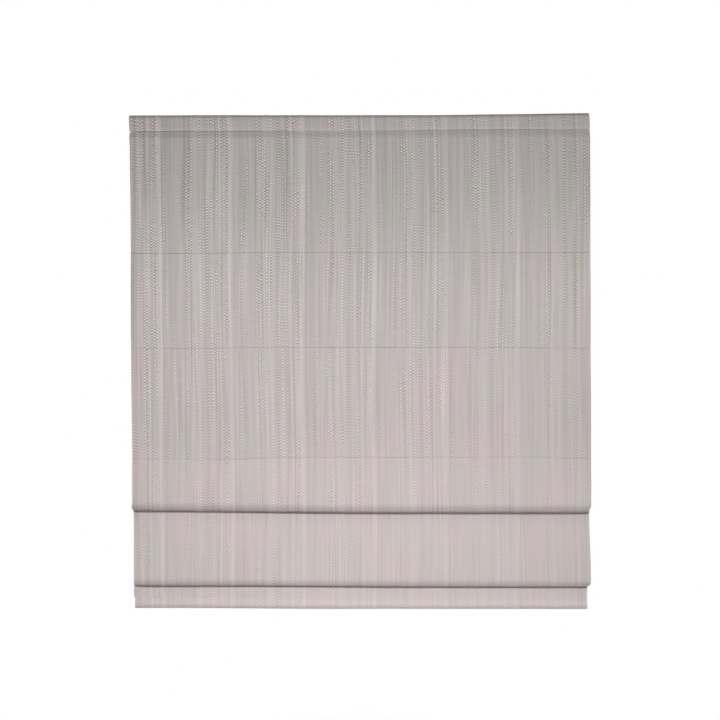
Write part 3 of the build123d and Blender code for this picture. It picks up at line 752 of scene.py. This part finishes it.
class BLIND_OT_finishes(Operator):
    """Makes the materials and gives the frame's nodes their finish"""

    bl_idname = "blind.finishes"
    bl_label = "Finishes"

    def execute(self, context):
        weave = context.scene.blind_weave
        jacquard(weave, context.scene.blind_cloth)
        thread(weave)
        white = (0.80, 0.80, 0.785)
        coats = {
            "rail": moulded("white_powder_coat", white, 0.42, 420.0, 0.00006, 0.1),
            "moulding": moulded("white_moulding", (0.78, 0.78, 0.76), 0.5),
            "hook_tape": pile("hook_pile", (0.74, 0.74, 0.72), 0.0013, 0.0005),
            "loop_tape": pile("loop_pile", (0.72, 0.71, 0.69), 0.0009, 0.0004),
            "bracket": drawn_metal("zinc_plated_steel", (0.66, 0.67, 0.69), 0.38, False, True),
            "spring_steel": drawn_metal("spring_steel", (0.56, 0.57, 0.58), 0.28, False),
            "cradle": moulded("cradle_moulding", (0.62, 0.63, 0.62), 0.5),
            "spool": moulded("spool_moulding", (0.72, 0.72, 0.69), 0.4),
            "wheel": moulded("wheel_moulding", (0.80, 0.80, 0.77), 0.3, coat=0.2),
            "shaft": drawn_metal("drawn_aluminium", (0.74, 0.75, 0.76), 0.32),
            "rod": glass_fibre("glass_fibre_rod"),
            "caps": moulded("soft_cap", (0.82, 0.82, 0.82), 0.35, 500.0, 0.00003, 0.2),
            "ring": moulded("polished_ring", (0.84, 0.84, 0.82), 0.22, 300.0, 0.00001, 0.4),
            "bar": moulded("painted_bar", (0.75, 0.75, 0.74), 0.36, 350.0, 0.00005, 0.1),
        }
        for part in frame["record"]["subparts"]:
            coat = coats.get(part["material_slot"])
            if coat:
                mesh = frame["nodes"][part["node"]].data
                mesh.materials.clear()
                mesh.materials.append(coat)
        return {"FINISHED"}


class BLIND_OT_header(Operator):
    """Lays the header band over the front of the rail"""

    bl_idname = "blind.header"
    bl_label = "Header"

    def execute(self, context):
        seams = Seams()
        cloth = seams.cloth
        depth = cloth.header_thickness
        face = seams.header_face
        points = [
            (face + cloth.header_roll + cloth.header_return, seams.header_top),
            (face, seams.header_top),
            (face, seams.seam),
            (face + depth, seams.seam),
            (face + depth, seams.header_top - cloth.header_roll * 1.2),
        ]
        run = stations(points, [cloth.header_roll, depth * 0.49, depth * 0.49], cloth.grid)
        half = cloth.header_width / 2

        def shape(x, y, z):
            shift = -0.0022 + 0.0016 * settle((seams.header_top - z) / cloth.header_height)
            front = y < face + depth * 0.5
            back = 0.0013 * settle(1 - (z - seams.seam) / 0.008) * front
            soft = hanging(x, z, 0.0003) * settle((0.0 - z) / 0.02)
            rise = 0.0006 * np.sin(6.0 * x + 0.5) + 0.0012 * settle(x / 0.3) + 0.0020 * settle(-x / 0.3)
            rise = rise * settle((-0.012 - z) / 0.012)
            rise = rise + uneven(HEADER_RISE, x) * settle((z + 0.012) / 0.02)
            return shift, soft + back, rise

        sheet = lay_cloth("header", columns(cloth, seams.weave, half, False), run, 0.0, cloth, shape)
        declare(sheet, "head", width=cloth.header_width)
        return {"FINISHED"}


class BLIND_OT_panels(Operator):
    """Lays the three flat panels between the header and the rows of rods"""

    bl_idname = "blind.panels"
    bl_label = "Panels"

    def execute(self, context):
        seams = Seams()
        cloth = seams.cloth
        half = cloth.width / 2
        lifts = {j["joint"]: j["ratio"] for j in frame["record"]["behaviour"]["couplings"]}
        travel = max(next(j["range_m"] for j in frame["joints"] if j["name"] == "lift"))
        ratios = [0.0, lifts["row_1_lift"], lifts["row_2_lift"], 1.0]
        tops = [seams.seam, rods[0].z, rods[1].z]
        start = cloth.header_height + SEAM_ALLOWANCE
        for number, top in enumerate(tops, start=1):
            low = rods[number - 1].z
            gap = seams.lip_gap
            points = [(seams.face, low + gap), (seams.face + seams.lip, low + gap)]
            radii = [seams.lip_turn]
            if number == 1:
                points = [(seams.face, top + 0.0006)] + points
            else:
                points = [(seams.face + seams.lip, top - gap), (seams.face, top - gap)] + points
                radii = [seams.lip_turn] + radii
            run = stations(points, radii, cloth.grid)
            billow = (0.0012, 0.0016, 0.0018)[number - 1]

            def shape(x, y, z, top=top, low=low, number=number, billow=billow):
                share = np.clip((top - z) / (top - low), 0, 1)
                arch = np.sin(math.pi * share)
                belly = -billow * arch ** 1.5 + hanging(x, z, 0.0007) * arch
                side = sway(x, z) + lean(x, z)
                tucked = 0.0
                if number == 1:
                    tucked = (0.0042 + 0.0006 * settle(-x / 0.4)) * settle(1 - (top - z) / 0.016)
                    side = side - 0.0016 * settle(1 - (top - z) / 0.045) * settle(-x / 0.3)
                upper = row_wave(number - 1, x) * (1 - settle(share / 0.4)) - gape(number - 1, x, top - z)
                lower = row_wave(number, x) * settle((share - 0.6) / 0.4) + gape(number, x, z - low)
                rise = upper + lower
                return side, belly + tucked + edge_roll(x, half), rise

            sheet = lay_cloth(f"panel_{number}", columns(cloth, seams.weave, half), run, start, cloth, shape)
            start += float(run[2][-1]) + UPPER_TUCK
            anchor = seams.seam if number == 1 else top
            closing = (ratios[number] - ratios[number - 1]) * travel
            body = "head" if number == 1 else row_bodies[number - 2]
            declare(sheet, body)
            1 - closing / (anchor - low)
            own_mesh(sheet)
        return {"FINISHED"}


class BLIND_OT_folds(Operator):
    """Lays the two gathered folds and the flap with its hem"""

    bl_idname = "blind.folds"
    bl_label = "Folds and flap"

    def execute(self, context):
        seams = Seams()
        cloth = seams.cloth
        half = cloth.width / 2
        gap = seams.lip_gap
        fold_step = math.radians(10)
        across = columns(cloth, seams.weave, half)
        inset = seams.pocket_middle + cloth.tuck_stem * 0.45

        join_a = seams.fold_a + 0.009
        points = [
            (seams.face + seams.lip, rods[2].z - gap),
            (seams.face, rods[2].z - gap),
            (seams.face, seams.fold_a),
            (seams.fold_a_face, seams.fold_a),
            (seams.fold_a_face, join_a),
        ]
        radii = [seams.lip_turn, seams.fold_a_turn, seams.fold_a_turn]
        run = stations(points, radii, cloth.grid, fold_step)
        start = FOLDS_START

        def slant_a(x):
            return 0.0010 - 0.0050 * settle((x + 0.6) / 0.7)

        def slant_b(x):
            return -0.0020 * settle((x + 0.3) / 0.5)

        def ends_a(x, z):
            height = z - seams.fold_a
            flare = -0.0030 * np.exp(-((height - 0.012) / 0.008) ** 2) * settle((-0.585 - x) / 0.014)
            cut = -0.0065 * settle(1 - height / 0.020) * settle((x - 0.55) / 0.05)
            return flare + cut

        def shape_a(x, y, z):
            height = z - seams.fold_a
            low = settle(1 - height / 0.14)
            share = np.clip((rods[2].z - z) / (rods[2].z - seams.fold_a), 0, 1)
            front = y < seams.face + 0.0001
            belly = -0.0010 * np.sin(math.pi * share) ** 2 + hanging(x, z, 0.0009) * np.sin(math.pi * share)
            under = tucked_under(height, 0.021, 0.0080) * front_share(y, seams.face, seams.fold_a_face)
            rise = row_wave(3, x) * (1 - settle(share / 0.4)) - gape(3, x, rods[2].z - z) + slant_a(x) * low
            side = sway(x, z) * (1 - 0.5 * low) + lean(x, z) + ends_a(x, z)
            return side, np.where(front, belly, 0.0) + under + edge_roll(x, half), rise

        front_a = lay_cloth("fold_upper_front", across, run, start, cloth, shape_a)
        declare(front_a, "row_3")
        start += float(run[2][-1])

        top_a = rods[3].z - inset
        run = stations([(seams.fold_a_face, join_a), (seams.fold_a_face, top_a)], [], cloth.grid)

        def shape_back_a(x, y, z):
            share = np.clip((z - join_a) / (top_a - join_a), 0, 1)
            keep = 1 - settle(share)
            low = settle(1 - (z - seams.fold_a) / 0.14)
            side = (sway(x, z) * (1 - 0.5 * low) + lean(x, z) + ends_a(x, z)) * keep
            return side, edge_roll(x, half) * keep, slant_a(x) * low * keep

        back_a = lay_cloth("fold_upper_back", across, run, start, cloth, shape_back_a)
        declare(back_a, None)
        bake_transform(back_a)
        start += float(run[2][-1]) + LOWER_TUCK

        join_b = seams.fold_b + 0.008
        top_b = rods[3].z - inset
        points = [
            (seams.panel_b_face, top_b),
            (seams.panel_b_face, seams.fold_b),
            (seams.fold_b_face, seams.fold_b),
            (seams.fold_b_face, join_b),
        ]
        run = stations(points, [seams.fold_b_turn, seams.fold_b_turn], cloth.grid, fold_step)

        def ends_b(x, z):
            height = z - seams.fold_b
            widen = 0.0048 * settle((seams.fold_a - z) / 0.19) * settle((x - 0.2) / 0.4)
            return widen - 0.0075 * settle(1 - height / 0.009) * settle((x - 0.57) / 0.03)

        def shape_b(x, y, z):
            height = z - seams.fold_b
            share = np.clip((top_b - z) / (top_b - seams.fold_b), 0, 1)
            front = y < seams.panel_b_face + 0.0001
            shown = settle((seams.fold_a - 0.004 - z) / 0.02)
            below = seams.fold_a - z
            belly = -0.0010 * np.sin(math.pi * np.clip(below / 0.2, 0, 1)) ** 2 * shown
            pressed = np.exp(-((np.clip(below, 0, 1) / 0.024) ** 2))
            belly = belly - 0.0020 * pressed * settle((z - seams.fold_a + 0.3) / 0.1)
            uneven = hanging(x, z, 0.0008) * shown * settle(height / 0.03)
            under = tucked_under(height, 0.017, 0.0062)
            under = under * front_share(y, seams.panel_b_face, seams.fold_b_face)
            side = sway(x, z) * shown * 0.6 + lean(x, z) * 0.65 * settle(share * 6) + ends_b(x, z)
            depth = np.where(front, belly + uneven, 0.0) + under + edge_roll(x, half) * settle(share * 6)
            return side, depth, slant_b(x) * settle(1 - height / 0.1)

        front_b = lay_cloth("fold_lower_front", across, run, start, cloth, shape_b)
        declare(front_b, "row_4")
        start += float(run[2][-1])

        top_c = rods[4].z - inset
        run = stations([(seams.fold_b_face, join_b), (seams.fold_b_face, top_c)], [], cloth.grid)

        def shape_back_b(x, y, z):
            keep = 1 - settle(np.clip((z - join_b) / (top_c - join_b), 0, 1))
            side = lean(x, z) * 0.65 + ends_b(x, z) + sway(x, z) * 0.6
            low = settle(1 - (z - seams.fold_b) / 0.1)
            return side * keep, edge_roll(x, half) * keep, slant_b(x) * low * keep

        back_b = lay_cloth("fold_lower_back", across, run, start, cloth, shape_back_b)
        declare(back_b, None)
        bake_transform(back_b)
        start += float(run[2][-1]) + LOWER_TUCK

        hem_top = seams.hem + cloth.hem_height
        back = seams.flap_face + cloth.hem_depth
        points = [
            (seams.flap_face, top_c),
            (seams.flap_face, seams.hem),
            (back, seams.hem),
            (back, hem_top),
            (seams.flap_face + cloth.thickness * 1.5, hem_top),
        ]
        run = stations(points, [0.0022, 0.0022, 0.0016], cloth.grid * 0.7)

        def shape_flap(x, y, z):
            height = z - seams.hem
            shown = settle((seams.fold_b - z) / 0.012)
            draw = -0.0014 + 0.0034 * settle((-0.45 - x) / 0.15) * settle((0.036 - height) / 0.012)
            bulge = -0.0014 * np.exp(-(((height - 0.010) / 0.007) ** 2))
            turned = front_share(y, seams.flap_face, seams.flap_face + cloth.hem_depth)
            forward = 0.0008 * settle((0.040 - height) / 0.012)
            under = (tucked_under(height, 0.008, 0.0006, 1.3) - forward) * turned
            over = bulge + 0.0006 * settle((height - 0.020) / 0.005) * settle((0.040 - height) / 0.012)
            pucker = np.exp(-((x + 0.566) / 0.010) ** 2) * np.exp(-((height - 0.036) / 0.014) ** 2)
            crease = 0.0007 * np.sin((x + 0.56) * 700.0 + height * 160.0) * pucker
            front = y < seams.flap_face + 0.0001
            wave = 0.0004 * np.sin(11.0 * x + 0.7) + 0.0003 * np.sin(23.0 * x)
            fall = 0.0007 * settle(1 - height / 0.03) * np.sin(3.1 * x + 0.4)
            body = np.where(front, over + crease + wave * shown, 0.0) + under
            drop = 0.0022 + 0.0024 * settle((x + 0.45) / 0.4) - fall
            return draw, body + edge_roll(x, half, fall=0.0002) * shown, -drop * shown

        flap = lay_cloth("flap_and_hem", across, run, start, cloth, shape_flap)
        declare(flap, "hem")
        return {"FINISHED"}


class BLIND_OT_pockets(Operator):
    """Sews the five rod pockets with their stems"""

    bl_idname = "blind.pockets"
    bl_label = "Rod pockets"

    def execute(self, context):
        seams = Seams()
        cloth = seams.cloth
        half = cloth.width / 2 - 0.001
        radius = cloth.pocket_radius
        side = cloth.thickness + cloth.tuck_gap / 2 + 0.0001
        reach = math.sqrt(radius * radius - side * side)
        stem = cloth.tuck_stem + seams.pocket_middle - reach
        steps = math.ceil(stem / 0.0012)
        start_angle = math.asin(side / radius)
        turns = 20
        outline = [(-reach - stem + stem * k / steps, -side) for k in range(steps + 1)]
        for k in range(1, turns):
            angle = -math.pi + start_angle + (2 * math.pi - 2 * start_angle) * k / turns
            outline.append((radius * math.cos(angle), radius * math.sin(angle)))
        outline += [(-reach - stem * k / steps, side) for k in range(steps + 1)]
        for row, rod in enumerate(rods, start=1):
            upper = row <= 3
            across_stem = Vector((1, 0)) if upper else Vector((0, 1))
            beside = Vector((-across_stem.y, across_stem.x))
            centre = Vector((rod.y, rod.z))
            places = np.array([centre + across_stem * a + beside * b for a, b in outline])
            ways = np.gradient(places, axis=0)
            ways /= np.linalg.norm(ways, axis=1)[:, None]
            normals = np.stack([-ways[:, 1], ways[:, 0]], axis=1)
            steps_along = np.linalg.norm(np.diff(places, axis=0), axis=1)
            run = (places, normals, np.concatenate([[0.0], np.cumsum(steps_along)]))
            x = np.linspace(-half, half, 161)
            across = (x, np.zeros(len(x)), x.copy())

            def shape(x, y, z, rod=rod):
                far = np.clip(np.hypot(y - rod.y, z - rod.z) / radius, 0, 1.2)
                plump = 0.00018 * np.sin(60.0 * x + 1.0) + 0.00012 * np.sin(143.0 * x)
                depth = plump * np.sign(y - rod.y) * far
                return lean(x, rod.z), depth, plump * np.sign(z - rod.z) * far * 0.6

            pocket = lay_cloth(f"rod_pocket_{row}", across, run, 0.3 + 0.1 * row, cloth, shape)
            body = row_bodies[row - 1]
            declare(pocket, body, width=2 * half)
        return {"FINISHED"}


def stitch_row(name, middle_place, count, pitch, between, body):
    """A row of lockstitches along X: one bevelled bead of thread, repeated and given its other side"""
    bpy.ops.object.select_all(action="DESELECT")
    bpy.ops.mesh.primitive_cylinder_add(
        vertices=6, radius=STITCH_WIDTH / 2, depth=pitch * STITCH_SHARE, rotation=(0, math.pi / 2, 0)
    )
    row = bpy.context.object
    bpy.ops.object.mode_set(mode="EDIT")
    bpy.ops.mesh.select_all(action="SELECT")
    bpy.ops.mesh.bevel(offset=STITCH_WIDTH * 0.3, segments=1)
    bpy.ops.object.mode_set(mode="OBJECT")
    x, y, z = middle_place
    row.location = (x - (count - 1) / 2 * pitch, y - between[0] / 2, z - between[1] / 2)
    bpy.ops.object.transform_apply(location=True, rotation=True, scale=True)
    repeats = [(count, (pitch, 0, 0))]
    if any(between):
        repeats.append((2, (0, *between)))
    for copies, offset in repeats:
        array = row.modifiers.new("repeat", "ARRAY")
        array.count = copies
        array.use_relative_offset = False
        array.use_constant_offset = True
        array.constant_offset_displace = offset
        bpy.ops.object.modifier_apply(modifier=array.name)
    bpy.ops.object.shade_smooth()
    row.name = name
    row.data.name = name
    row.data.materials.clear()
    row.data.materials.append(bpy.data.materials["sewing_thread"])
    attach(row, body)
    return row


class BLIND_OT_stitches(Operator):
    """Sews the stitch rows of the tucks and the thread that holds each ring"""

    bl_idname = "blind.stitches"
    bl_label = "Stitches"

    def execute(self, context):
        seams = Seams()
        cloth = seams.cloth
        count = int((cloth.width - 0.03) / STITCH_PITCH)
        side = cloth.thickness + cloth.tuck_gap / 2 + 0.0002
        reach = cloth.pocket_radius + 0.0018
        for row, rod in enumerate(rods, start=1):
            place = (0, rod.y - reach, rod.z) if row <= 3 else (0, rod.y, rod.z - reach)
            between = (0, 2 * side) if row <= 3 else (2 * side, 0)
            body = row_bodies[row - 1]
            stitch_row(f"tuck_stitches_{row}", place, count, STITCH_PITCH, between, body)
        hem_line = seams.hem + cloth.hem_height - 0.0032
        place = (0, seams.flap_face + cloth.hem_depth + 0.0001, hem_line)
        stitch_row("hem_stitches", place, count, STITCH_PITCH, (0, 0), "hem")
        for row in range(1, ROWS + 1):
            self.sew_rings(row)
        return {"FINISHED"}

    def sew_rings(self, row):
        """Loops of thread from the pocket's back round each ring of a row"""
        ring = middle(f"rings_row_{row}")
        low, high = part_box(f"rings_row_{row}")
        wire = (high.z - low.z) / 2
        near = low.y + wire
        loops = []
        for x in ring_places:
            for offset in (-0.0008, 0.0, 0.0008):
                bpy.ops.object.select_all(action="DESELECT")
                bpy.ops.mesh.primitive_torus_add(
                    location=(x + offset, near - 0.0003, ring.z), rotation=(0, math.pi / 2, 0),
                    major_radius=wire + 0.0006, minor_radius=0.0003, major_segments=16, minor_segments=6,
                )
                bpy.ops.object.transform_apply(location=True, rotation=True, scale=True)
                loops.append(bpy.context.object)
        bpy.ops.object.select_all(action="DESELECT")
        for loop in loops:
            loop.select_set(True)
        bpy.context.view_layer.objects.active = loops[0]
        bpy.ops.object.join()
        sewn = bpy.context.object
        sewn.name = f"ring_thread_{row}"
        sewn.data.name = sewn.name
        sewn.data.transform(sewn.matrix_world)
        sewn.matrix_world = Matrix.Identity(4)
        sewn.data.materials.clear()
        sewn.data.materials.append(bpy.data.materials["sewing_thread"])
        bpy.ops.object.shade_smooth()
        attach(sewn, row_bodies[row - 1])


class BLIND_OT_stage(Operator):
    """Sets up the floor, the room's light, the lamps and the camera"""

    bl_idname = "blind.stage"
    bl_label = "Stage"

    def execute(self, context):
        studio = context.scene.blind_studio
        scene = context.scene
        self.floor(studio)
        self.world(scene, studio)
        middle_z = (cad_box[0].z + cad_box[1].z) / 2
        warm = (1.0, 0.97, 0.965)
        cool = (0.96, 1.0, 0.99)
        white = (1.0, 1.0, 1.0)
        self.lamp("front_lamp", (0, -1.5, 0.35), (0, 0, -2.2), (2.2, 0.5), studio.front_lamp, warm, 79)
        self.lamp("upper_lamp", (0, -1.3, -1.1), (0, 0, 0.3), (2.0, 0.4), studio.upper_lamp, cool, 60)
        self.lamp("back_lamp", (0.6, 2.6, 0.6), (0, 0, middle_z), (2.0, 2.0), studio.back_lamp, white)
        data = bpy.data.cameras.new("camera")
        data.lens = studio.lens
        camera = bpy.data.objects.new("camera", data)
        scene.collection.objects.link(camera)
        pitch, roll, yaw = studio.camera_turn
        turn = Matrix.Rotation(yaw, 3, "Z") @ Matrix.Rotation(pitch, 3, "X") @ Matrix.Rotation(roll, 3, "Y")
        turn = turn @ Matrix.Rotation(math.pi / 2, 3, "X")
        camera.matrix_world = Matrix.Translation(studio.camera_place) @ turn.to_4x4()
        scene.camera = camera
        scene.view_settings.view_transform = "Standard"
        return {"FINISHED"}

    def floor(self, studio):
        """A pale floor, white to the camera but for the shade under the blind"""
        bpy.ops.object.select_all(action="DESELECT")
        bpy.ops.mesh.primitive_circle_add(
            vertices=96, radius=30.0, fill_type="NGON", location=(0, 0, studio.floor_drop)
        )
        floor = bpy.context.object
        floor.name = "floor"
        finish = Finish("pale_floor")
        place = finish.node("ShaderNodeTexCoord", None, None, output=3)
        split = {"Vector": place}
        east = finish.node("ShaderNodeSeparateXYZ", None, split, output=0)
        north = finish.node("ShaderNodeSeparateXYZ", None, split, output=1)
        far = (east * east + north * north) / 0.8
        far = far.maths("MINIMUM", far, 1.0)
        seen = finish.node("ShaderNodeLightPath", None, None, output=0)
        lit = finish.node("ShaderNodeBsdfDiffuse", None, {"Color": (0.5, 0.5, 0.5, 1.0)})
        white = finish.node("ShaderNodeEmission", None, {"Color": (1.0, 1.0, 1.0, 1.0), "Strength": 1.0})
        share = seen * (0.85 + far * 0.15)
        mixed = finish.node("ShaderNodeMixShader", None, {0: share, 1: lit, 2: white})
        finish.node("ShaderNodeOutputMaterial", None, {"Surface": mixed})
        floor.data.materials.append(finish.owner)

    def world(self, scene, studio):
        """White to the camera and in reflections, and an even soft light otherwise"""
        scene.world = bpy.data.worlds.new("studio")
        finish = Finish("studio", scene.world)
        seen = finish.node("ShaderNodeLightPath", None, None, output=0)
        mirrored = finish.node("ShaderNodeLightPath", None, None, output=3)
        passed = finish.node("ShaderNodeLightPath", None, None, output=6)
        shown = seen + mirrored + passed
        shown = shown.maths("MINIMUM", shown, 1.0)
        way = {"Vector": finish.node("ShaderNodeTexCoord", None, None, output=0)}
        behind = finish.node("ShaderNodeSeparateXYZ", None, way, output=1)
        front = held_between(0.0 - behind, 0.0, 1.0)
        strength = shown + (1.0 - shown) * (0.2 + front * 1.25) * studio.ambient
        inputs = {"Color": (1.0, 1.0, 1.0, 1.0), "Strength": strength}
        light = finish.node("ShaderNodeBackground", None, inputs)
        finish.node("ShaderNodeOutputWorld", None, {"Surface": light})

    def lamp(self, name, place, target, size, power, colour, spread=180):
        """A soft rectangular lamp that the camera doesn't see"""
        data = bpy.data.lights.new(name, "AREA")
        data.shape = "RECTANGLE"
        data.size, data.size_y = size
        data.energy = power
        data.color = colour
        data.spread = math.radians(spread)
        lamp = bpy.data.objects.new(name, data)
        bpy.context.scene.collection.objects.link(lamp)
        lamp.location = place
        lamp.rotation_mode = "QUATERNION"
        lamp.rotation_quaternion = (Vector(target) - Vector(place)).to_track_quat("-Z", "Y")
        lamp.visible_camera = False


class BLIND_PT_panel(Panel):
    """Lists the blind's steps and sizes"""

    bl_idname = "BLIND_PT_panel"
    bl_label = "Roman blind"
    bl_space_type = "VIEW_3D"
    bl_region_type = "UI"
    bl_category = "Blind"

    def draw(self, context):
        layout = self.layout
        for step in STEPS:
            layout.operator(step.bl_idname)
        for group in (context.scene.blind_cloth, context.scene.blind_weave, context.scene.blind_studio):
            box = layout.box()
            for name in group.bl_rna.properties.keys():
                if name not in ("rna_type", "name"):
                    box.prop(group, name)


STEPS = (
    BLIND_OT_finishes,
    BLIND_OT_header,
    BLIND_OT_panels,
    BLIND_OT_folds,
    BLIND_OT_pockets,
    BLIND_OT_stitches,
    BLIND_OT_stage,
)
CLASSES = (BlindCloth, BlindWeave, BlindStudio, *STEPS, BLIND_PT_panel)


def register():
    """Registers the classes and the scene's groups of sizes"""
    for made in CLASSES:
        bpy.utils.register_class(made)
    bpy.types.Scene.blind_cloth = PointerProperty(type=BlindCloth)
    bpy.types.Scene.blind_weave = PointerProperty(type=BlindWeave)
    bpy.types.Scene.blind_studio = PointerProperty(type=BlindStudio)


def unregister():
    """Takes the scene's groups and the classes away again"""
    del bpy.types.Scene.blind_studio
    del bpy.types.Scene.blind_weave
    del bpy.types.Scene.blind_cloth
    for made in reversed(CLASSES):
        bpy.utils.unregister_class(made)


def main():
    """Runs every step in order"""
    register()
    for step in STEPS:
        group, name = step.bl_idname.split(".")
        getattr(getattr(bpy.ops, group), name)()


if __name__ == "__main__":
    main()
